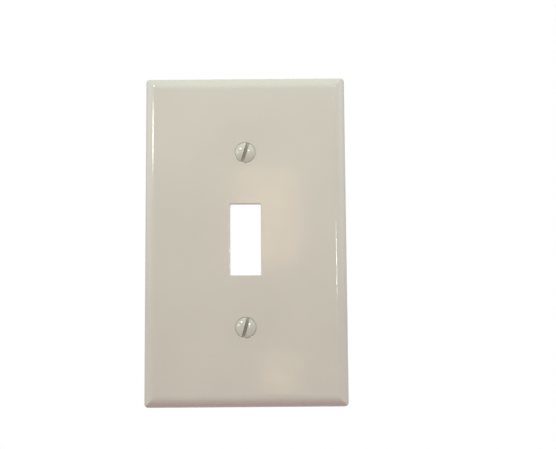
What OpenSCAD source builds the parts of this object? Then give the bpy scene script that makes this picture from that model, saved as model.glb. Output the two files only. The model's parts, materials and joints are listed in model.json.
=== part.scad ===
// Single-gang wall plate for a toggle switch, with its two mounting screws
// and the push-on rings that keep the screws in a loose plate.
// The origin is on the wall plane, midway between the screws.
// +X is right as seen from the room, +Y goes into the wall and +Z is up.

/* [Plate] */
// Width of the plate
plate_w = 69.85; // [66:0.05:90]
// Height of the plate
plate_h = 114.3; // [106:0.1:140]
// Depth from the wall to the front face
plate_depth = 5.6; // [5:0.1:7]
// Radius of the rolled edge
roll_r = 4.4; // [3:0.1:4.8]
// Radius of the four corners of the outline
corner_r = 1.5; // [0.8:0.1:3]
// Thickness of the front web
web_t = 2.3; // [1.8:0.1:2.6]
// Thickness of the side walls
wall_t = 2.2; // [1.6:0.1:2.8]

/* [Toggle opening] */
// Width of the opening
toggle_w = 10.6; // [9.6:0.1:12]
// Height of the opening
toggle_h = 24.6; // [22:0.1:27]
// Width of the lip round the opening, on the back
lip_w = 1.5; // [0.8:0.1:2.5]

/* [Stiffening] */
// Thickness of the ribs on the back
rib_t = 1.1; // [0.6:0.1:2]
// How far the ribs and the lip stand off the back of the web
rib_h = 0.9; // [0.4:0.1:1]
// Distance of the two upright ribs from the middle
upright_rib_x = 15.5; // [12:0.5:22]
// Distance of the outer pair of cross ribs from the middle
outer_cross_rib_z = 42; // [38:0.5:46]
// Distance of the inner pair of cross ribs from the middle
inner_cross_rib_z = 19; // [16:0.5:24]
// Outer radius of the bosses round the screw holes
boss_r = 4.5; // [4.2:0.1:6]
// How far the bosses stand off the back of the web
boss_h = 1.0; // [0.6:0.1:1]

/* [Screw holes] */
// Distance between the two screws
screw_spacing = 60.325; // [58:0.005:64]
// Radius of the clearance holes
hole_r = 1.98; // [1.9:0.01:2.3]
// Radius of the countersinks at the front face
sink_r = 3.65; // [3.6:0.05:4]
// Full angle of the countersinks and of the screw heads
sink_angle = 82; // [80:1:90]

/* [Screws] */
// Radius of the thread's crests
thread_r = 1.7526; // [1.7:0.0001:1.8]
// Length of the thread behind the wall plane
thread_len = 7.2; // [5:0.1:20]
// Chamfer at the screw's tip
tip_chamfer = 0.4; // [0.2:0.1:0.8]
// Radius of the plain neck between the head and the thread
neck_r = 1.5; // [1.4:0.01:1.6]
// Radius of the head
head_r = 3.45; // [3.2:0.05:3.5]
// How far below the front face the edge of the head starts
head_sink = 0.13; // [0.1:0.01:0.3]
// Height of the head's straight edge
head_edge = 0.2; // [0.1:0.05:0.3]
// Rise of the oval crown above that edge
crown_h = 1.0; // [0.6:0.1:1.2]
// Width of the driver slot
slot_w = 1.1; // [0.9:0.05:1.3]
// Depth of the driver slot below the top of the crown
slot_depth = 1.3; // [0.9:0.1:1.6]
// Lean of the upper screw's slot, clockwise from upright
upper_slot_lean = 17; // [0:1:180]
// Lean of the lower screw's slot, clockwise from upright
lower_slot_lean = 15; // [0:1:180]

/* [Retaining rings] */
// Outer radius of a ring
ring_r = 4.4; // [3.6:0.1:6]
// Thickness of a ring
ring_t = 0.8; // [0.5:0.1:1]
// Distance of a ring from the wall plane
ring_gap = 0.1; // [0.1:0.05:0.2]
// Running clearance between a ring and the screw's neck
ring_clearance = 0.05; // [0.03:0.01:0.1]
// Number of slits that let the ring's fingers spring over the thread
slit_count = 4; // [3:1:6]
// Width of a slit
slit_w = 0.5; // [0.3:0.1:0.8]
// Radius that the slits reach
slit_reach = 3.0; // [2.4:0.1:3.2]

/* [Hidden] */
$fn = 96;
past = 1; // how far a cutter runs past the surface it opens

web_back = plate_depth - web_t; // distance from the wall to the back of the web
inner_roll_r = roll_r - web_t + 0.1;
inner_corner_r = 0.6;
rib_root = 0.5; // how far ribs, lip and bosses are let into the web
rib_end_inset = 0.75 * wall_t; // the ribs' ends are buried in the side walls

flare = tan(sink_angle / 2); // growth in radius of a countersink per unit of height
sink_h = (sink_r - hole_r) / flare;
head_edge_z = plate_depth - head_sink;
cone_h = (head_r - neck_r) / flare;
crown_z = head_edge_z + head_edge;
dome_r = (head_r * head_r + crown_h * crown_h) / (2 * crown_h);
dome_z = crown_z + crown_h - dome_r;
slot_floor = crown_z + crown_h - slot_depth;

plate_colour = [0.86, 0.84, 0.78];
screw_colour = [0.82, 0.81, 0.75];
ring_colour = [0.93, 0.92, 0.88];

// Everything below is drawn face up, with Z out of the wall. on_wall() turns it upright.
module on_wall() {
    rotate([90, 0, 0]) children();
}

// Places children on the upper screw's axis (side 1) or on the lower one's (side -1).
module at_screw(side) {
    translate([0, side * screw_spacing / 2, 0]) children();
}

// Section of a slab whose two front edges are rolled over; it runs down to -below.
module rolled_section(span, depth, roll, below) {
    translate([-span / 2, -below]) square([span, depth - roll + below]);
    translate([roll - span / 2, -below]) square([span - 2 * roll, depth + below]);
    for (side = [-1, 1])
        translate([side * (span / 2 - roll), depth - roll]) circle(r = roll);
}

module rounded_rectangle(w, h, r) {
    square([w - 2 * r, h], center = true);
    square([w, h - 2 * r], center = true);
    for (x = [-1, 1], y = [-1, 1])
        translate([x * (w / 2 - r), y * (h / 2 - r)]) circle(r = r);
}

// A slab with its edges rolled on all four sides, so that they meet in mitres at the corners.
module rolled_slab(w, h, depth, roll, corner, below) {
    intersection() {
        rotate([90, 0, 0]) linear_extrude(h, center = true) rolled_section(w, depth, roll, below);
        rotate([90, 0, 90]) linear_extrude(w, center = true) rolled_section(h, depth, roll, below);
        translate([0, 0, -below]) linear_extrude(depth + below) rounded_rectangle(w, h, corner);
    }
}

module shell() {
    difference() {
        rolled_slab(plate_w, plate_h, plate_depth, roll_r, corner_r, 0);
        rolled_slab(plate_w - 2 * wall_t, plate_h - 2 * wall_t, web_back, inner_roll_r, inner_corner_r, past);
    }
}

// A bar on the back of the web, centred on the origin and let into the web.
module back_bar(w, h) {
    translate([-w / 2, -h / 2, web_back - rib_h]) cube([w, h, rib_h + rib_root]);
}

module ribs() {
    for (x = [-upright_rib_x, upright_rib_x])
        translate([x, 0, 0]) back_bar(rib_t, plate_h - 2 * rib_end_inset);
    for (z = [-outer_cross_rib_z, -inner_cross_rib_z, inner_cross_rib_z, outer_cross_rib_z])
        translate([0, z, 0]) back_bar(plate_w - 2 * rib_end_inset, rib_t);
}

module bosses() {
    for (side = [-1, 1])
        at_screw(side) translate([0, 0, web_back - boss_h]) cylinder(r = boss_r, h = boss_h + rib_root);
}

// Clearance hole with its countersink.
module screw_hole() {
    translate([0, 0, -past]) cylinder(r = hole_r, h = plate_depth + 2 * past);
    translate([0, 0, plate_depth - sink_h])
        cylinder(r1 = hole_r, r2 = sink_r + past * flare, h = sink_h + past);
}

module wall_plate() {
    color(plate_colour) on_wall() difference() {
        union() {
            shell();
            ribs();
            bosses();
            back_bar(toggle_w + 2 * lip_w, toggle_h + 2 * lip_w);
        }
        translate([-toggle_w / 2, -toggle_h / 2, -past]) cube([toggle_w, toggle_h, plate_depth + 2 * past]);
        for (side = [-1, 1]) at_screw(side) screw_hole();
    }
}

// Half section of a screw: X is the radius and Y the distance from the wall.
module screw_section() {
    polygon([
        [0, -thread_len],
        [thread_r - tip_chamfer, -thread_len],
        [thread_r, tip_chamfer - thread_len],
        [thread_r, 0],
        [neck_r, 0],
        [neck_r, head_edge_z - cone_h],
        [head_r, head_edge_z],
        [head_r, crown_z],
        [0, crown_z]
    ]);
    intersection() {
        translate([0, dome_z]) circle(r = dome_r);
        translate([0, crown_z]) square([head_r, crown_h + past]);
    }
}

// Oval-head machine screw with a slot that leans clockwise from upright.
module screw(side, slot_lean) {
    color(screw_colour) on_wall() at_screw(side) difference() {
        rotate_extrude() screw_section();
        rotate(-slot_lean)
            translate([-slot_w / 2, -head_r - past, slot_floor])
                cube([slot_w, 2 * (head_r + past), slot_depth + past]);
    }
}

// Push-on ring: its fingers spring over the thread and then sit round the narrower neck.
module retainer(side) {
    color(ring_colour) on_wall() at_screw(side) translate([0, 0, ring_gap]) difference() {
        cylinder(r = ring_r, h = ring_t);
        translate([0, 0, -past]) cylinder(r = neck_r + ring_clearance, h = ring_t + 2 * past);
        for (i = [0 : slit_count - 1])
            rotate(i * 360 / slit_count)
                translate([0, -slit_w / 2, -past]) cube([slit_reach, slit_w, ring_t + 2 * past]);
    }
}

module upper_screw() { screw(1, upper_slot_lean); }
module lower_screw() { screw(-1, lower_slot_lean); }
module upper_screw_retainer() { retainer(1); }
module lower_screw_retainer() { retainer(-1); }

wall_plate();
upper_screw();
lower_screw();
upper_screw_retainer();
lower_screw_retainer();
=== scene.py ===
"""The looks of a single-gang toggle wall plate with two captive screws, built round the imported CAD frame.

Everything is in metres in the row frame: +X right, +Y into the wall, +Z up, with the wall plane at y = 0.
"""
import json
from math import asin, atan2, cos, pi, radians, sin, sqrt, tan

import bmesh
import bpy
import numpy as np
from mathutils import Euler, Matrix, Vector, geometry


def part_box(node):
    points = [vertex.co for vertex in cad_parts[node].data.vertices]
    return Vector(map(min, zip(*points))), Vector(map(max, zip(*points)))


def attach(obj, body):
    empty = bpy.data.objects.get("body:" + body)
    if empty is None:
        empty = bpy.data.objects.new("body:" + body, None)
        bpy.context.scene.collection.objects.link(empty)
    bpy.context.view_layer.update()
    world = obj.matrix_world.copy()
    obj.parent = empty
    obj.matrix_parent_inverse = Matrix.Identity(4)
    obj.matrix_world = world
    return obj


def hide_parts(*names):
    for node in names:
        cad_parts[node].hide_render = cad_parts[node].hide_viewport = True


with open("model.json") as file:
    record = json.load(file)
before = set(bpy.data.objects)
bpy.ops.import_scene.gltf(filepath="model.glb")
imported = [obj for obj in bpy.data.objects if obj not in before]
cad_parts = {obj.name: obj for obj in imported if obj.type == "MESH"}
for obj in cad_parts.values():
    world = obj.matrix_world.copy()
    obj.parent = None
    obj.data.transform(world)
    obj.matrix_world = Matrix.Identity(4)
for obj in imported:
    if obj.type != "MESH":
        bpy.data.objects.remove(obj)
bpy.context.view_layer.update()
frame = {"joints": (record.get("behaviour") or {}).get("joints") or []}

MM = 0.001

# ---- driving dimensions, from the frame where it has them ----
plate_low, plate_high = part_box("wall_plate")
PLATE_W = plate_high.x - plate_low.x
PLATE_H = plate_high.z - plate_low.z
DEPTH = -plate_low.y  # from the wall plane to the front face
WEB_BACK = DEPTH - 2.3 * MM  # from the wall plane to the back of the web
WALL_T = 2.2 * MM
ROLL_R = 4.4 * MM
INNER_ROLL_R = 2.2 * MM
CORNER_R = 1.5 * MM
INNER_CORNER_R = 0.6 * MM
MITRE_R = 0.3 * MM  # rounding where two rolled edges meet
EDGE_R = 0.25 * MM  # small fillets on the moulding

TOGGLE_W, TOGGLE_H = 10.6 * MM, 24.6 * MM
TOGGLE_CORNER_R = 0.4 * MM
LIP_W = 1.5 * MM
RIB_T, RIB_H = 1.1 * MM, 0.9 * MM
RIB_ROOT, RIB_DRAFT = 0.5 * MM, 0.06 * MM  # how far a rib is let into the web, and its draft to there
RIB_INSET = 0.75 * WALL_T  # the ribs' ends are buried in the side walls
UPRIGHT_RIB_X = 15.5 * MM
CROSS_RIB_Z = (19 * MM, 42 * MM)
EJECTOR_R, EJECTOR_DEPTH = 2.1 * MM, 0.12 * MM
EJECTOR_X = 24.5 * MM
EJECTOR_Z = [z * MM for z in (-48, -30, 0, 30, 48)]

HOLE_R, SINK_R = 1.98 * MM, 3.65 * MM
BOSS_R, BOSS_H = 4.5 * MM, 1.0 * MM
FLARE = tan(radians(82 / 2))  # growth in radius of a countersink, or of a head's cone, per unit of height

SCREW_Z = {j["child"]: j["pos_m"][2] for j in frame["joints"] if j["type"] == "hinge"}
SLOT_LEAN = {"upper_screw": radians(17), "lower_screw": radians(15)}


def place(x, out, z):
    """A point given by how far it stands out from the wall plane."""
    return Vector((x, -out, z))


# ---- outlines and sections ----
def circle(radius, count):
    return [(radius * cos(2 * pi * i / count), radius * sin(2 * pi * i / count)) for i in range(count)]


def rounded_rectangle(half_w, half_h, corner, steps=6, supports=(0.25, 1.0, 4.0)):
    """Counter-clockwise points. The support points, in mm from each corner, keep its shading local."""

    def support(s, straight):
        """Distance of a support from its corner; it stays on the corner's half of the straight."""
        return min(s * MM, straight * 0.49 * s / supports[-1])

    points = []
    for turn, (sx, sy) in enumerate(((1, 1), (-1, 1), (-1, -1), (1, -1))):
        cx, cy = sx * (half_w - corner), sy * (half_h - corner)
        start = turn * pi / 2
        before = Vector((cos(start), sin(start)))
        after = Vector((cos(start + pi / 2), sin(start + pi / 2)))
        halves = (half_h, half_w) if turn % 2 == 0 else (half_w, half_h)
        straight, straight_next = (2 * half - 2 * corner for half in halves)
        first = Vector((cx, cy)) + corner * before
        last = Vector((cx, cy)) + corner * after
        points += [first - after * support(s, straight) for s in reversed(supports)]
        for i in range(steps + 1):
            a = start + i * pi / 2 / steps
            points.append(Vector((cx + corner * cos(a), cy + corner * sin(a))))
        points += [last - before * support(s, straight_next) for s in supports]
    return [(p[0], p[1]) for p in points]


def arc(offset, out, radius, start, end, steps):
    """Section points (offset, out) on an arc. Angles are in degrees: 0 is towards +offset, 90 outwards."""
    angles = [radians(start + (end - start) * i / steps) for i in range(steps + 1)]
    return [(offset + radius * cos(a), out + radius * sin(a)) for a in angles]


# ---- mesh building ----
SLIVER = 4e-10  # square metres; a triangle below this lies between points of one straight line
WELD = 1e-7  # vertices closer than this become one
TOUCH = 1e-9  # a reach below this has shrunk to a point
PLATE_SHARP, SMALL_SHARP = 32, 40  # degrees; a sharper edge isn't shaded smooth


def add_loop(bm, outline, out, centre_z=0.0):
    return [bm.verts.new(place(x, out, z + centre_z)) for x, z in outline]


def bridge(bm, a, b):
    count = len(a)
    for i in range(count):
        bm.faces.new((a[i], a[(i + 1) % count], b[(i + 1) % count], b[i]))


def add_face(bm, *verts):
    """A face without repeated corners, or none where a cell has shrunk to an edge."""
    corners = list(dict.fromkeys(verts))
    if len(corners) > 2:
        bm.faces.new(corners)


def join_rows(bm, rows):
    for a, b in zip(rows, rows[1:]):
        for k in range(len(a) - 1):
            add_face(bm, a[k], a[k + 1], b[k + 1], b[k])


def loft(bm, outline_at, section, centre_z=0.0):
    """Joins one loop per section point and returns the first and the last loop."""
    loops = [add_loop(bm, outline_at(offset), out, centre_z) for offset, out in section]
    for a, b in zip(loops, loops[1:]):
        bridge(bm, a, b)
    return loops[0], loops[-1]


def inside(point, polygon):
    x, y = point
    found = False
    for (x0, y0), (x1, y1) in zip(polygon, polygon[1:] + polygon[:1]):
        if (y0 > y) != (y1 > y) and x < x0 + (y - y0) * (x1 - x0) / (y1 - y0):
            found = not found
    return found


def nearest_edge(point, starts, ends):
    """Distance from a point to the nearest of many straight edges."""
    along = ends - starts
    share = ((point - starts) * along).sum(axis=1) / (along ** 2).sum(axis=1)
    nearest = starts + along * np.clip(share, 0, 1)[:, None]
    return np.sqrt(((point - nearest) ** 2).sum(axis=1).min())


def fill_flat(bm, outer, holes, spacing, centre_z=0.0):
    """Fills the flat region between loops with well-shaped triangles about spacing across."""
    out = -outer[0].co.y
    rings = [outer, *holes]
    verts = [v for ring in rings for v in ring]
    flat = [Vector((v.co.x, v.co.z)) for v in verts]
    shapes = [[(v.co.x, v.co.z) for v in ring] for ring in rings]
    edges, first = [], 0
    for ring in rings:
        edges += [(first + i, first + (i + 1) % len(ring)) for i in range(len(ring))]
        first += len(ring)
    starts, ends = (np.array([flat[edge[k]] for edge in edges]) for k in (0, 1))

    def filled(point):
        return inside(point, shapes[0]) and not any(inside(point, hole) for hole in shapes[1:])

    wide, high = max(x for x, _ in shapes[0]), max(y for _, y in shapes[0]) - centre_z
    columns, rows = int(wide / spacing), int(high / spacing)
    edge_gap = 0.4 * spacing
    for i in range(-columns, columns + 1):
        for j in range(-rows, rows + 1):
            p = Vector((i * spacing, (j + 0.5 * (i % 2)) * spacing + centre_z))
            if nearest_edge(np.array(p), starts, ends) > edge_gap and filled(p):
                flat.append(p)
                verts.append(bm.verts.new(place(p.x, out, p.y)))
    _, _, triangles, origins, _, _ = geometry.delaunay_2d_cdt(flat, edges, [], 0, 1e-9)
    for triangle in triangles:
        a, b, c = (flat[origins[k][0]] for k in triangle)
        if geometry.area_tri(a, b, c) > SLIVER and filled((a + b + c) / 3):
            bm.faces.new([verts[origins[k][0]] for k in triangle])


def shade(mesh, sharp_angle):
    mesh.shade_smooth()
    mesh.set_sharp_from_angle(angle=radians(sharp_angle))


def finish_mesh(bm, name, sharp_angle):
    bmesh.ops.remove_doubles(bm, verts=bm.verts, dist=WELD)
    bmesh.ops.recalc_face_normals(bm, faces=bm.faces)
    mesh = bpy.data.meshes.new(name)
    bm.to_mesh(mesh)
    bm.free()
    shade(mesh, sharp_angle)
    piece = bpy.data.objects.new(name, mesh)
    bpy.context.scene.collection.objects.link(piece)
    return piece


def unite(piece, other):
    """Boolean union of two closed pieces; the other one is used up."""
    union = piece.modifiers.new("unite", "BOOLEAN")
    union.operation, union.solver, union.object = "UNION", "EXACT", other
    bpy.context.view_layer.update()
    graph = bpy.context.evaluated_depsgraph_get()
    mesh = bpy.data.meshes.new_from_object(piece.evaluated_get(graph))
    old = piece.data
    piece.modifiers.clear()
    piece.data = mesh
    bpy.data.meshes.remove(old)
    bpy.data.objects.remove(other)


# ---- the plate ----
SUPPORT = 0.15 * MM  # flat strip next to a fillet
WEB_GRID = 2.4 * MM  # size of the triangles on the web's two flat faces


def plate_outline(offset):
    """The outline moved in by offset; within a millimetre its round corners tighten into mitres."""
    corner = MITRE_R + (CORNER_R - MITRE_R) * max(1 - offset / MM, 0) ** 2
    return rounded_rectangle(PLATE_W / 2 - offset, PLATE_H / 2 - offset, corner)


def foot_outline(offset):
    return rounded_rectangle(PLATE_W / 2 - offset, PLATE_H / 2 - offset, CORNER_R - offset)


def cavity_outline(offset):
    return rounded_rectangle(PLATE_W / 2 - offset, PLATE_H / 2 - offset, INNER_CORNER_R)


def toggle_outline(offset):
    corner = TOGGLE_CORNER_R + max(offset, 0)
    half_w, half_h = TOGGLE_W / 2 + offset, TOGGLE_H / 2 + offset
    return rounded_rectangle(half_w, half_h, corner, steps=5, supports=(0.2, 0.8))


def screw_circle(radius):
    return circle(radius, 72)


def plate_rim(bm):
    """From the flat face over the rolled edge, round the foot and up the cavity to the web's back."""
    roll = [(ROLL_R + SUPPORT, DEPTH)]
    roll += arc(ROLL_R, DEPTH - ROLL_R, ROLL_R, 90, 180, 18)
    roll += [(0, EDGE_R + 2 * SUPPORT)]
    front, side = loft(bm, plate_outline, roll)
    edge = [(0, EDGE_R + SUPPORT)]
    edge += arc(EDGE_R, EDGE_R, EDGE_R, 180, 270, 4)
    edge += [(EDGE_R + SUPPORT, 0)]
    wall, foot = loft(bm, foot_outline, edge)
    bridge(bm, side, wall)
    inner = [(WALL_T - EDGE_R - SUPPORT, 0)]
    inner += arc(WALL_T - EDGE_R, EDGE_R, EDGE_R, 270, 360, 4)
    inner += [(WALL_T, EDGE_R + SUPPORT)]
    inner += arc(WALL_T + INNER_ROLL_R, WEB_BACK - INNER_ROLL_R, INNER_ROLL_R, 180, 90, 10)
    inner += [(WALL_T + INNER_ROLL_R + SUPPORT, WEB_BACK)]
    ledge, back = loft(bm, cavity_outline, inner)
    bridge(bm, foot, ledge)
    return front, back


def toggle_opening(bm):
    """From the front face through the web and over the lip to the web's back."""
    lip_out = WEB_BACK - RIB_H
    section = [(EDGE_R + SUPPORT, DEPTH)]
    section += arc(EDGE_R, DEPTH - EDGE_R, EDGE_R, 90, 180, 5)
    section += [(0, DEPTH - EDGE_R - SUPPORT), (0, lip_out + EDGE_R + SUPPORT)]
    section += arc(EDGE_R, lip_out + EDGE_R, EDGE_R, 180, 270, 4)
    section += [(EDGE_R + SUPPORT, lip_out), (LIP_W - EDGE_R - SUPPORT, lip_out)]
    section += arc(LIP_W - EDGE_R, lip_out + EDGE_R, EDGE_R, 270, 360, 4)
    section += arc(LIP_W + EDGE_R, WEB_BACK - EDGE_R, EDGE_R, 180, 90, 4)
    section += [(LIP_W + EDGE_R + SUPPORT, WEB_BACK)]
    return loft(bm, toggle_outline, section)


def screw_hole(bm, centre_z):
    """From the front face down the countersink and the hole, and over the boss to the web's back."""
    mouth = 0.12 * MM  # half the width of the rounded edge at the front
    small = 0.15 * MM  # rounding at both ends of the hole
    boss_out = WEB_BACK - BOSS_H
    sink_end = DEPTH - (SINK_R - HOLE_R) / FLARE
    section = [(SINK_R + mouth + SUPPORT, DEPTH), (SINK_R + mouth, DEPTH)]
    section += [(SINK_R + 0.3 * mouth, DEPTH - 0.12 * mouth)]
    section += [(SINK_R - 0.3 * mouth, DEPTH - 0.6 * mouth)]
    section += [(SINK_R - mouth, DEPTH - mouth / FLARE)]
    section += [(HOLE_R + small, sink_end + small / FLARE), (HOLE_R, sink_end)]
    section += [(HOLE_R, sink_end - small), (HOLE_R, boss_out + 2 * small)]
    section += arc(HOLE_R + small, boss_out + small, small, 180, 270, 4)
    section += [(HOLE_R + small + SUPPORT, boss_out), (BOSS_R - EDGE_R - SUPPORT, boss_out)]
    section += arc(BOSS_R - EDGE_R, boss_out + EDGE_R, EDGE_R, 270, 360, 4)
    section += arc(BOSS_R + EDGE_R, WEB_BACK - EDGE_R, EDGE_R, 180, 90, 4)
    section += [(BOSS_R + EDGE_R + SUPPORT, WEB_BACK)]
    return loft(bm, screw_circle, section, centre_z)


def ejector_mark(bm, x, z):
    """A shallow round witness of an ejector pin in the back of the web. Returns its rim."""
    ring = [(px + x, pz + z) for px, pz in circle(EJECTOR_R, 40)]
    rim = add_loop(bm, ring, WEB_BACK)
    bottom = add_loop(bm, ring, WEB_BACK + EJECTOR_DEPTH)
    bridge(bm, rim, bottom)
    bm.faces.new(bottom)
    return rim


def rib(along, length, across_at):
    """A drafted rib with a rounded crest, its root buried in the web. along is 'X' or 'Z'."""
    crest, half = WEB_BACK - RIB_H, RIB_T / 2
    side = [(half + RIB_DRAFT, WEB_BACK + RIB_ROOT)]
    side += arc(half - EDGE_R, crest + EDGE_R, EDGE_R, 0, -90, 4)
    section = side + [(-a, out) for a, out in reversed(side)]
    bm = bmesh.new()
    ends = []
    for end in (-length / 2, length / 2):
        if along == "X":
            points = [place(end, out, across_at + a) for a, out in section]
        else:
            points = [place(across_at + a, out, end) for a, out in section]
        ends.append([bm.verts.new(point) for point in points])
    bridge(bm, *ends)
    for ring in ends:
        bm.faces.new(ring)
    return finish_mesh(bm, "rib", PLATE_SHARP)


def wall_plate():
    bm = bmesh.new()
    front, back = plate_rim(bm)
    openings = [toggle_opening(bm)] + [screw_hole(bm, z) for z in SCREW_Z.values()]
    marks = [ejector_mark(bm, x, z) for x in (-EJECTOR_X, EJECTOR_X) for z in EJECTOR_Z]
    fill_flat(bm, front, [first for first, _ in openings], WEB_GRID)
    fill_flat(bm, back, [last for _, last in openings] + marks, WEB_GRID)
    piece = finish_mesh(bm, "moulded_plate", PLATE_SHARP)
    for x in (-UPRIGHT_RIB_X, UPRIGHT_RIB_X):
        unite(piece, rib("Z", PLATE_H - 2 * RIB_INSET, x))
    for z in CROSS_RIB_Z:
        for side in (-1, 1):
            unite(piece, rib("X", PLATE_W - 2 * RIB_INSET, side * z))
    shade(piece.data, PLATE_SHARP)
    return piece


# ---- the screws ----
THREAD_R = 1.7526 * MM
THREAD_PITCH = 25.4 * MM / 32
THREAD_DEPTH = 0.6134 * THREAD_PITCH
ROOT_FLAT, FLANK = 0.14, 0.7  # shares of half a pitch; the crest's flat takes the rest
TIP_R = THREAD_R - THREAD_DEPTH
NECK_R = 1.5 * MM
SLOT_HALF_W, SLOT_DEPTH = 0.55 * MM, 1.3 * MM
SLOT_EDGE = 0.09 * MM  # rounding along the slot's upper edges
SLOT_STRIP = 0.08 * MM  # narrow first row of the crown beside that rounding
SOFT = 0.06 * MM  # rounding under the head's edge
EDGE_ROUND = 0.25 * MM  # radius from the crown over to the head's edge

screw_low, screw_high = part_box("upper_screw")
HEAD_R = (screw_high.x - screw_low.x) / 2
HEAD_TOP = -screw_low.y
TIP_OUT = -screw_high.y
HEAD_EDGE_OUT = DEPTH - 0.13 * MM
CROWN_OUT = HEAD_EDGE_OUT + 0.2 * MM
SLOT_FLOOR = HEAD_TOP - SLOT_DEPTH
FLOOR_R = HEAD_R - (HEAD_EDGE_OUT - SLOT_FLOOR) * FLARE  # the cone's radius at the slot's floor
CONE_END = HEAD_EDGE_OUT - (HEAD_R - NECK_R) / FLARE
CROWN_RISE = HEAD_TOP - CROWN_OUT
DOME_R = (HEAD_R ** 2 + CROWN_RISE ** 2) / (2 * CROWN_RISE)
DOME_OUT = HEAD_TOP - DOME_R
EDGE_FALL = asin((HEAD_R - EDGE_ROUND) / (DOME_R - EDGE_ROUND))  # the crown's slope where its edge starts
CROWN_R = DOME_R * sin(EDGE_FALL)

SLOT_EDGE_STEPS, CROWN_STEPS, HEAD_EDGE_STEPS = 3, 14, 5
SPANS = [sin(pi / 2 * (i / 12 - 1)) for i in range(25)]  # places along the slot, from -1 to 1


def crown(radius):
    """How far the oval crown stands out at a radius."""
    return DOME_OUT + sqrt(DOME_R ** 2 - radius ** 2)


def head_rows():
    """Rows beside the slot: distance from its middle, and how far its rounded edge drops the crown."""
    rows = []
    for i in range(SLOT_EDGE_STEPS + 1):
        a = radians(90 * i / SLOT_EDGE_STEPS)
        rows.append((SLOT_HALF_W + SLOT_EDGE * (1 - cos(a)), SLOT_EDGE * (1 - sin(a))))
    first = SLOT_HALF_W + SLOT_EDGE + SLOT_STRIP
    for i in range(CROWN_STEPS + 1):
        rows.append((first + (CROWN_R - first) * sin(pi / 2 * i / CROWN_STEPS), 0.0))
    return rows


def head_rings():
    """Rings below the crown: radius, how far out, and the share of the slot edge's drop that each keeps."""
    centre_r = HEAD_R - EDGE_ROUND
    centre_out = DOME_OUT + (DOME_R - EDGE_ROUND) * cos(EDGE_FALL)
    rings = []
    for i in range(1, HEAD_EDGE_STEPS + 1):
        a = EDGE_FALL + (pi / 2 - EDGE_FALL) * i / HEAD_EDGE_STEPS
        keeps = 1 - i / HEAD_EDGE_STEPS
        rings.append((centre_r + EDGE_ROUND * sin(a), centre_out + EDGE_ROUND * cos(a), keeps))
    rings.append((HEAD_R - 0.5 * SOFT, HEAD_EDGE_OUT - 0.4 * SOFT, 0.0))
    rings.append((FLOOR_R, SLOT_FLOOR, 0.0))
    return rings


def on_ring(across, radius):
    """Moves a row from the crown's edge to a ring of another radius; the slot's wall stays put."""
    share = (radius - SLOT_HALF_W) / (CROWN_R - SLOT_HALF_W)
    return SLOT_HALF_W + (across - SLOT_HALF_W) * share


def half_crown(bm, side, at):
    """The crown on one side of the slot. Returns its rows, each from end to end."""
    made = []
    for across, drop in head_rows():
        reach = sqrt(max(CROWN_R ** 2 - across ** 2, 0))
        points = [(across, t * reach) for t in SPANS] if reach > TOUCH else [(across, 0)]
        row = [bm.verts.new(at(side * u, v, crown(sqrt(u * u + v * v)) - drop)) for u, v in points]
        made.append(row if len(row) > 1 else row * len(SPANS))
    join_rows(bm, made)
    return made


def half_edge(bm, side, at, crown_rows):
    """The head's edge and cone on one side. Returns its rings; each holds the two ends of every row."""
    rings = [[(row[0], row[-1]) for row in crown_rows]]
    for radius, out, keeps in head_rings():
        ring = []
        for across, drop in head_rows():
            u = on_ring(across, radius)
            v = sqrt(max(radius ** 2 - u ** 2, 0))
            signs = (-1, 1) if v > TOUCH else (1,)
            ends = [bm.verts.new(at(side * u, sign * v, out - keeps * drop)) for sign in signs]
            ring.append((ends[0], ends[-1]))
        rings.append(ring)
    for a, b in zip(rings, rings[1:]):
        for j in range(len(a) - 1):
            for end in (0, 1):
                add_face(bm, a[j][end], a[j + 1][end], b[j + 1][end], b[j][end])
    return rings


def slot_wall(bm, side, at, rim, rings):
    """One wall of the slot, from its rim down to the floor. Returns its lowest row."""
    rim_out = -rim[0].co.y
    rows = [rim]
    for ring, (radius, _, _) in zip(rings[1:], head_rings()):
        down = (rim_out + ring[0][0].co.y) / (rim_out - SLOT_FLOOR)
        reach = sqrt(radius ** 2 - SLOT_HALF_W ** 2)
        middle = []
        for t, top in zip(SPANS[1:-1], rim[1:-1]):
            out = -top.co.y + down * (SLOT_FLOOR + top.co.y)
            middle.append(bm.verts.new(at(side * SLOT_HALF_W, t * reach, out)))
        rows.append([ring[0][0], *middle, ring[0][1]])
    join_rows(bm, rows)
    return rows[-1]


def half_head(bm, side, at):
    """One side of the head. Returns the foot of its slot wall and its lowest ring, end to end."""
    crown_rows = half_crown(bm, side, at)
    rings = half_edge(bm, side, at, crown_rows)
    foot = slot_wall(bm, side, at, crown_rows[0], rings)
    lowest = [pair[0] for pair in rings[-1]] + [pair[1] for pair in reversed(rings[-1][:-1])]
    return foot, lowest


def slotted_head(bm, at):
    """Crown, edge and slot. Returns the lowest ring, counter-clockwise."""
    right_foot, right_ring = half_head(bm, 1, at)
    left_foot, left_ring = half_head(bm, -1, at)
    columns = [right_foot]
    for share in (0.5, 0, -0.5):
        u = share * SLOT_HALF_W
        reach = sqrt(FLOOR_R ** 2 - u ** 2)
        columns.append([bm.verts.new(at(u, t * reach, SLOT_FLOOR)) for t in SPANS])
    columns.append(left_foot)
    join_rows(bm, columns)
    upper_end = [column[-1] for column in columns[1:-1]]
    lower_end = [column[0] for column in reversed(columns[1:-1])]
    return right_ring + upper_end + list(reversed(left_ring)) + lower_end


def thread_radius(out, phase):
    """Radius at a phase of 0 to 1 along one pitch. The thread fades in at the neck and out at the tip."""
    height = min(max((abs(2 * phase - 1) - ROOT_FLAT) / FLANK, 0), 1)
    radius = TIP_R + THREAD_DEPTH * height
    runout = min(max(-out / THREAD_PITCH, 0), 1)
    return min(NECK_R + (radius - NECK_R) * runout, TIP_R + out - TIP_OUT)


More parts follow.
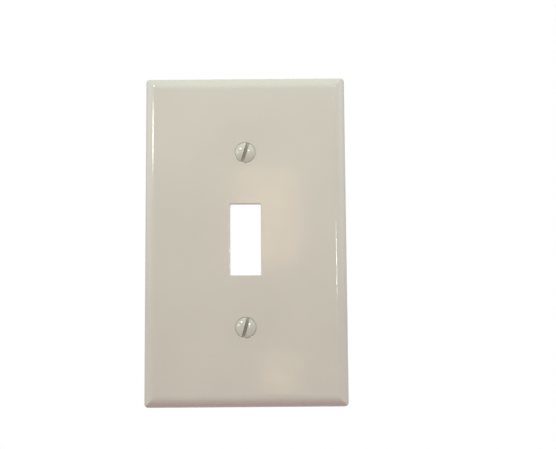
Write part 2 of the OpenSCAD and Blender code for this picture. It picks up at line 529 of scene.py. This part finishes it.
def threaded_shank(bm, directions, start, centre_z):
    """Right-hand thread from the neck's last ring to the tip. Rows follow the helix, columns the screw."""
    tip = [bm.verts.new(place(TIP_R * x, TIP_OUT, centre_z + TIP_R * z)) for x, z in directions]
    per_turn, count = 12, len(directions)
    turn_share = [(atan2(z, x) / (2 * pi)) % 1.0 for x, z in directions]
    turn_share = [(share - turn_share[0]) % 1.0 for share in turn_share]
    made = {}

    def vertex(row, column):
        if column == count:
            row, column = row - per_turn, 0
        depth = (row / per_turn - turn_share[column]) * THREAD_PITCH
        if depth <= 0:
            return start[column]
        if depth >= -TIP_OUT:
            return tip[column]
        if (row, column) not in made:
            radius = thread_radius(-depth, (row / per_turn) % 1.0)
            x, z = directions[column]
            made[row, column] = bm.verts.new(place(radius * x, -depth, centre_z + radius * z))
        return made[row, column]

    for row in range(int(per_turn * (-TIP_OUT / THREAD_PITCH + 1)) + 2):
        for column in range(count):
            cell = ((row, column), (row, column + 1), (row + 1, column + 1), (row + 1, column))
            add_face(bm, *(vertex(*corner) for corner in cell))
    bm.faces.new(tip)


def screw(node):
    centre_z, lean = SCREW_Z[node], SLOT_LEAN[node]

    def at(u, v, out):
        """u is across the slot and v along it."""
        return place(u * cos(lean) + v * sin(lean), out, centre_z - u * sin(lean) + v * cos(lean))

    bm = bmesh.new()
    ring = slotted_head(bm, at)
    directions = [(v.co.x / FLOOR_R, (v.co.z - centre_z) / FLOOR_R) for v in ring]
    small = 0.12 * MM  # rounding from the cone into the neck
    section = [(NECK_R + 3 * small, CONE_END + 3 * small / FLARE)]
    section += [(NECK_R + small, CONE_END + small / FLARE)]
    section += [(NECK_R + 0.25 * small, CONE_END + 0.1 * small)]
    section += [(NECK_R, CONE_END - small), (NECK_R, small), (NECK_R, 0)]
    for radius, out in section:
        below = [bm.verts.new(place(radius * x, out, centre_z + radius * z)) for x, z in directions]
        bridge(bm, ring, below)
        ring = below
    threaded_shank(bm, directions, ring, centre_z)
    return finish_mesh(bm, "machine_" + node, SMALL_SHARP)


# ---- the push-on rings ----
RING_R = 4.4 * MM
RING_BORE_R = NECK_R + 0.05 * MM
RING_SOFT, RING_FLAT = 0.1 * MM, 0.08 * MM  # rounding of a ring's edges, and the flat strip beside it
RING_GRID = 0.6 * MM  # size of the triangles on a ring's flat faces
SLIT_HALF_W, SLIT_REACH = 0.25 * MM, 3.0 * MM


def ring_circle(radius):
    return circle(radius, 80)


def finger_outline(offset):
    """The bore with its four slits, opened out by offset; each slit has a round end."""
    bore, half, reach = RING_BORE_R + offset, SLIT_HALF_W + offset, SLIT_REACH + offset
    edge = asin(half / bore)  # half of the angle that a slit takes from the bore
    points = []
    for turn in range(4):
        middle = turn * pi / 2
        c, s = cos(middle), sin(middle)
        straight = [bore * cos(edge), 0.5 * (bore + reach - half), reach - half]
        slit = [(r, -half) for r in straight]
        slit += [(reach - half + half * sin(pi * i / 8), -half * cos(pi * i / 8)) for i in range(1, 8)]
        slit += [(r, half) for r in reversed(straight)]
        points += [(c * x - s * y, s * x + c * y) for x, y in slit]
        for i in range(1, 10):
            a = middle + edge + (pi / 2 - 2 * edge) * i / 10
            points.append((bore * cos(a), bore * sin(a)))
    return points


def retainer(node, centre_z):
    low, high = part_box(node)
    top, bottom = -low.y, -high.y

    def wall(offset, solid):
        """Rounded wall from the top face to the bottom one. solid is the ring's side of it: 1 or -1."""
        corner = offset + solid * RING_SOFT
        section = [(corner + solid * RING_FLAT, top)]
        section += arc(corner, top - RING_SOFT, RING_SOFT, 90, 90 + solid * 90, 4)
        section += arc(corner, bottom + RING_SOFT, RING_SOFT, 90 + solid * 90, 90 + solid * 180, 4)
        return section + [(corner + solid * RING_FLAT, bottom)]

    bm = bmesh.new()
    outer = loft(bm, ring_circle, wall(RING_R, -1), centre_z)
    inner = loft(bm, finger_outline, wall(0, 1), centre_z)
    for k in (0, 1):
        fill_flat(bm, outer[k], [inner[k]], RING_GRID, centre_z)
    return finish_mesh(bm, "push_on_" + node, SMALL_SHARP)


# ---- materials ----
class Nodes:
    """Short calls for building a node tree. A value is a number, a colour or another node's output."""

    def __init__(self, tree):
        self.tree = tree

    def add(self, kind, **settings):
        node = self.tree.nodes.new(kind)
        for key, value in settings.items():
            setattr(node, key, value)
        return node

    def feed(self, node, socket, value):
        """Links an output to a socket, or sets the socket's own value."""
        if isinstance(value, bpy.types.NodeSocket):
            self.tree.links.new(value, node.inputs[socket])
        else:
            node.inputs[socket].default_value = value

    def separated(self, vector):
        """The outputs X, Y and Z of a vector."""
        node = self.add("ShaderNodeSeparateXYZ")
        self.feed(node, "Vector", vector)
        return node.outputs

    def ranged(self, value, low, high, to_low=0, to_high=1, smooth=False):
        """Moves a value from the range low to high into another range, and holds it at the ends."""
        node = self.add("ShaderNodeMapRange", interpolation_type="SMOOTHSTEP" if smooth else "LINEAR")
        self.feed(node, "Value", value)
        self.feed(node, "From Min", low)
        self.feed(node, "From Max", high)
        self.feed(node, "To Min", to_low)
        self.feed(node, "To Max", to_high)
        return node.outputs["Result"]

    def mixed(self, share, a, b):
        """Colour a where share is 0 and b where it is 1."""
        node = self.add("ShaderNodeMix", data_type="RGBA")
        self.feed(node, 0, share)
        for socket, colour in ((6, a), (7, b)):
            self.feed(node, socket, (*colour, 1) if isinstance(colour, tuple) else colour)
        return node.outputs[2]

    def mixed_number(self, share, a, b):
        """Number a where share is 0 and b where it is 1."""
        node = self.add("ShaderNodeMix", data_type="FLOAT")
        for socket, value in ((0, share), (2, a), (3, b)):
            self.feed(node, socket, value)
        return node.outputs[0]

    def math(self, operation, *values):
        node = self.add("ShaderNodeMath", operation=operation)
        for i, value in enumerate(values):
            self.feed(node, i, value)
        return node.outputs[0]


class Material(Nodes):
    """A material whose patterns lie in the piece's own coordinates."""

    def __init__(self, name):
        self.material = bpy.data.materials.new(name)
        self.material.use_nodes = True
        super().__init__(self.material.node_tree)
        self.shader = self.tree.nodes["Principled BSDF"]
        self.coordinates = self.add("ShaderNodeTexCoord").outputs["Object"]

    def noise(self, feature_mm, detail=2.0, roughness=0.5):
        """Noise whose features are about feature_mm across."""
        node = self.add("ShaderNodeTexNoise")
        self.feed(node, "Vector", self.coordinates)
        self.feed(node, "Scale", 1 / (feature_mm * MM))
        self.feed(node, "Detail", detail)
        self.feed(node, "Roughness", roughness)
        return node.outputs["Fac"]

    def bump(self, depth_mm, height):
        node = self.add("ShaderNodeBump")
        self.feed(node, "Strength", 1.0)
        self.feed(node, "Distance", depth_mm * MM)
        self.feed(node, "Height", height)
        self.feed(self.shader, "Normal", node.outputs["Normal"])

    def put(self, **values):
        """Feeds the shader's sockets; underscores stand for spaces."""
        for key, value in values.items():
            self.feed(self.shader, key.replace("_", " "), value)


def plate_plastic():
    """Glossy light almond thermoplastic: faint clouding, handling haze and moulded orange peel."""
    m = Material("light_almond_plastic")
    cloud = m.ranged(m.noise(26, detail=3), 0.35, 0.65)
    fleck = m.ranged(m.noise(0.35, roughness=0.7), 0.62, 0.74, 0, 0.35)
    base = m.mixed(cloud, (0.572, 0.530, 0.456), (0.592, 0.549, 0.473))
    haze = m.ranged(m.noise(9, detail=5, roughness=0.62), 0.4, 0.68, 0.075, 0.13)
    m.put(Base_Color=m.mixed(fleck, base, (0.539, 0.493, 0.415)), Roughness=haze, IOR=1.5)
    m.put(Subsurface_Weight=0.08, Subsurface_Scale=1.2 * MM, Subsurface_Radius=(1.0, 0.8, 0.55))
    grain = m.math("MULTIPLY", m.noise(0.28), 0.12)
    m.bump(0.0022, m.math("ADD", m.noise(1.6, detail=1), grain))
    return m.material


def screw_paint():
    """Enamelled head, darkened in its slot and seat by dust and painted shade. The paint thins out down the
    cone, over a zinc shank.
    """
    m = Material("enamelled_screw")
    axes = m.separated(m.coordinates)
    paint_cloud = m.ranged(m.noise(1.4, detail=3), 0.35, 0.65)
    paint = m.mixed(paint_cloud, (0.510, 0.485, 0.410), (0.555, 0.530, 0.445))
    # Dust and painted shade: the slot's walls and the seat around the head are painted darker the deeper
    # they lie.
    paint = m.mixed(dust_and_shade_share(m, axes), paint, (0.20, 0.195, 0.155))
    paint_rough = m.ranged(m.noise(0.5, detail=3), 0.3, 0.7, 0.13, 0.18)
    zinc_cloud = m.ranged(m.noise(0.8, detail=4, roughness=0.6), 0.3, 0.7)
    zinc = m.mixed(zinc_cloud, (0.52, 0.54, 0.56), (0.70, 0.71, 0.70))
    zinc_rough = m.ranged(m.noise(0.25, detail=3), 0.3, 0.7, 0.24, 0.40)
    speckle = m.ranged(m.noise(0.35, detail=4, roughness=0.65), 0.3, 0.7, -0.5 * MM, 0.5 * MM)
    reach = m.math("ADD", axes["Y"], speckle)
    bare = m.ranged(reach, -CONE_END - 1.0 * MM, -CONE_END + 0.6 * MM, smooth=True)
    rough = m.mixed_number(bare, paint_rough, zinc_rough)
    m.put(Base_Color=m.mixed(bare, paint, zinc), Metallic=bare, Roughness=rough, IOR=1.5)
    grain = m.math("MULTIPLY", m.noise(0.09), 0.2)
    m.bump(0.004, m.math("ADD", m.noise(0.45), grain))
    return m.material


def dust_and_shade_share(m, axes):
    """Share of dust and painted shade: 0 on the crown, rising with the depth below it, down the slot's
    walls and round the seat.
    """
    upright = m.math("SUBTRACT", m.math("ABSOLUTE", axes["Z"]), max(SCREW_Z.values()))
    across_squared = m.math("MULTIPLY", axes["X"], axes["X"])
    radius_squared = m.math("ADD", across_squared, m.math("MULTIPLY", upright, upright))
    crown_fall = m.math("MULTIPLY", radius_squared, CROWN_RISE / HEAD_R ** 2)
    depth = m.math("SUBTRACT", m.math("ADD", axes["Y"], HEAD_TOP), crown_fall)
    recess_darkening = m.ranged(depth, 0.06 * MM, 0.7 * MM, 0, 0.62, smooth=True)
    patchy = m.ranged(m.noise(0.5, detail=3, roughness=0.6), 0.3, 0.7, 0.55, 1.0)
    return m.math("MULTIPLY", recess_darkening, patchy)


def retainer_nylon():
    """Natural nylon: milky, slightly waxy, with faint flow clouding."""
    m = Material("natural_nylon")
    cloud = m.ranged(m.noise(2.2, detail=4, roughness=0.6), 0.35, 0.65)
    wax = m.ranged(m.noise(0.6, detail=3), 0.3, 0.7, 0.34, 0.48)
    m.put(Base_Color=m.mixed(cloud, (0.70, 0.675, 0.590), (0.79, 0.77, 0.70)), Roughness=wax, IOR=1.53)
    m.put(Subsurface_Weight=0.25, Subsurface_Scale=0.8 * MM, Subsurface_Radius=(1.0, 0.9, 0.7))
    m.bump(0.004, m.noise(0.22, detail=3))
    return m.material


# ---- the pieces ----
plate = wall_plate()
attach(plate, "plate")
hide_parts("wall_plate")
plate.data.materials.append(plate_plastic())

paint, nylon = screw_paint(), retainer_nylon()
for screw_node, centre_z in SCREW_Z.items():
    piece = screw(screw_node)
    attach(piece, screw_node)
    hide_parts(screw_node)
    piece.data.materials.append(paint)
    ring_node = screw_node + "_retainer"
    piece = retainer(ring_node, centre_z)
    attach(piece, screw_node.replace("screw", "retainer"))
    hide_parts(ring_node)
    piece.data.materials.append(nylon)


# ---- stage, light and camera ----
def floor():
    """A pale floor that fades into the surroundings, so that no horizon shows."""
    radius, below = 0.4, 0.06  # below is the gap under the plate
    fade_start, fade_end = 0.06, 0.33
    bm = bmesh.new()
    bmesh.ops.create_circle(bm, cap_ends=True, segments=96, radius=radius)
    mesh = bpy.data.meshes.new("floor")
    bm.to_mesh(mesh)
    bm.free()
    made = bpy.data.objects.new("floor", mesh)
    made.location.z = plate_low.z - below
    bpy.context.scene.collection.objects.link(made)
    m = Material("pale_floor")
    length = m.add("ShaderNodeVectorMath", operation="LENGTH")
    m.feed(length, 0, m.coordinates)
    fade = m.ranged(length.outputs["Value"], fade_start, fade_end, 1, 0, smooth=True)
    cloud = m.ranged(m.noise(60), 0.3, 0.7)
    m.put(Base_Color=m.mixed(cloud, (0.80, 0.80, 0.79), (0.82, 0.82, 0.81)), Roughness=0.6, Alpha=fade)
    mesh.materials.append(m.material)
    made.visible_diffuse = False


def surroundings():
    """White to the eye. As light it is a soft room: bright at the upper sides, paler below and behind."""
    down, horizon, up = (0.72, 0.49, 0.51), (0.12, 0.06, 0.06), (0.22, 0.22, 0.23)
    sides, back = (2.3, 2.45, 2.5), (0.86, 0.84, 0.83)
    full_height, low_share = 0.22, 0.28  # where the sides are full, and their share at the horizon
    world = bpy.data.worlds.new("studio")
    bpy.context.scene.world = world
    world.use_nodes = True
    world.node_tree.nodes.clear()
    n = Nodes(world.node_tree)
    axes = n.separated(n.add("ShaderNodeTexCoord").outputs["Generated"])
    ramp = n.add("ShaderNodeValToRGB")
    ramp.color_ramp.elements[0].color = (*down, 1)
    ramp.color_ramp.elements[1].color = (*up, 1)
    ramp.color_ramp.elements.new(0.5).color = (*horizon, 1)
    n.feed(ramp, 0, n.ranged(axes["Z"], -1, 1))
    height_share = n.ranged(axes["Z"], 0, full_height, low_share, 1)
    side_share = n.math("MULTIPLY", n.math("POWER", axes["X"], 4), height_share)
    colour = n.mixed(side_share, ramp.outputs[0], sides)
    colour = n.mixed(axes["Y"], colour, back)
    room, seen = n.add("ShaderNodeBackground"), n.add("ShaderNodeBackground")
    n.feed(room, "Color", colour)
    n.feed(seen, "Color", (1, 1, 1, 1))
    mix, output = n.add("ShaderNodeMixShader"), n.add("ShaderNodeOutputWorld")
    n.feed(mix, 0, n.add("ShaderNodeLightPath").outputs["Is Camera Ray"])
    n.feed(mix, 1, room.outputs[0])
    n.feed(mix, 2, seen.outputs[0])
    n.feed(output, 0, mix.outputs[0])


def area_light(name, position, size, radiance, colour=(1, 1, 1), glossy=True):
    """A rectangular panel that faces the origin. A radiance of 1 looks like white paper in full light."""
    data = bpy.data.lights.new(name, "AREA")
    data.shape, data.size, data.size_y = "RECTANGLE", size[0], size[1]
    data.energy, data.color = radiance * pi * size[0] * size[1], colour
    lamp = bpy.data.objects.new(name, data)
    lamp.location = position
    lamp.rotation_euler = (-Vector(position)).to_track_quat("-Z", "Y").to_euler()
    lamp.visible_camera = False
    lamp.visible_glossy = glossy
    bpy.context.scene.collection.objects.link(lamp)


def lights():
    """The soft boxes give plain light and no highlights. The lamps and panels show as reflections."""
    area_light("overhead_softbox", (0.0, -0.27, 0.28), (0.50, 0.34), 2.27, (0.79, 0.99, 0.96), glossy=False)
    area_light("upper_left_lamp", (-0.89, -1.42, 1.08), (0.32, 0.30), 20)
    area_light("upper_right_lamp", (0.71, -1.74, 0.70), (0.32, 0.20), 26)
    area_light("left_window", (-1.46, -1.37, 0.43), (0.45, 0.14), 14, (1.0, 1.0, 0.97))
    area_light("right_lamp", (0.75, -1.88, 0.115), (0.14, 0.13), 24, (1.0, 0.98, 0.93))
    area_light("warm_panel", (-0.015, -2.0, 0.235), (0.15, 0.23), 2.8, (1.0, 0.62, 0.32))
    area_light("low_panel", (0.015, -2.0, -0.15), (0.09, 0.10), 2.6, (1.0, 0.75, 0.45))
    area_light("back_softbox", (0.45, 0.80, 0.60), (0.50, 0.40), 4.0, glossy=False)


def camera():
    """A little to the right of the plate's middle and below it, looking slightly up."""
    data = bpy.data.cameras.new("camera")
    data.sensor_width, data.lens = 36, 61.64  # millimetres
    data.clip_start, data.clip_end = 0.01, 20
    made = bpy.data.objects.new("camera", data)
    made.location = (0.0112, -0.331, -0.029)
    pitch, roll = radians(5.97), radians(-0.45)
    look = Vector((0, cos(pitch), sin(pitch)))
    made.rotation_mode = "QUATERNION"
    made.rotation_quaternion = look.to_track_quat("-Z", "Y") @ Euler((0, 0, roll)).to_quaternion()
    bpy.context.scene.collection.objects.link(made)
    bpy.context.scene.camera = made


floor()
surroundings()
lights()
camera()
bpy.context.scene.view_settings.view_transform = "Standard"
